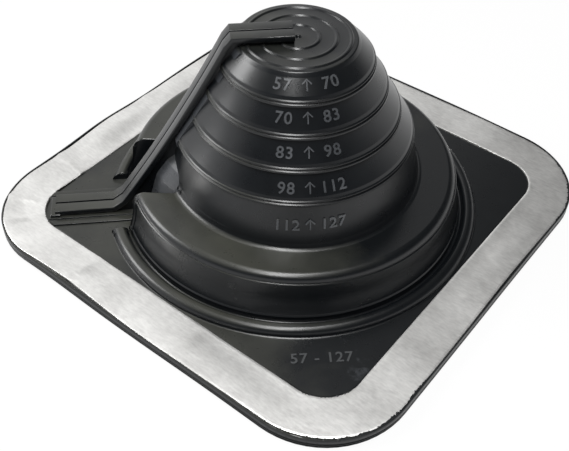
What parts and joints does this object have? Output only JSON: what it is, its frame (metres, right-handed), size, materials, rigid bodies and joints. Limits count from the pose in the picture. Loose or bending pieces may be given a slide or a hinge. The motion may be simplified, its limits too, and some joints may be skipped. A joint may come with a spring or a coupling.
{
  "type": "pipe flashing boot",
  "caption": "Stepped rubber cone on a square flange with a soft aluminium ring; trimmed to a pipe and fixed down, it seals the pipe's way through a roof.",
  "frame": {"origin": "centre of the flange's underside, on the pipe axis", "axes": "+Z along the pipe, from the flange to the closed cap; X and Y along the sides of the square flange; the seam rib lies over the -X -Y corner"},
  "size_m": [0.2046, 0.2046, 0.0914],
  "materials": {
    "rubber": "moulded matt rubber with a soft sheen",
    "aluminium": "soft mill-finish sheet"
  },
  "bodies": {
    "root": {"rubber_boot": "rubber", "aluminium_ring": "aluminium"}
  },
  "joints": []
}
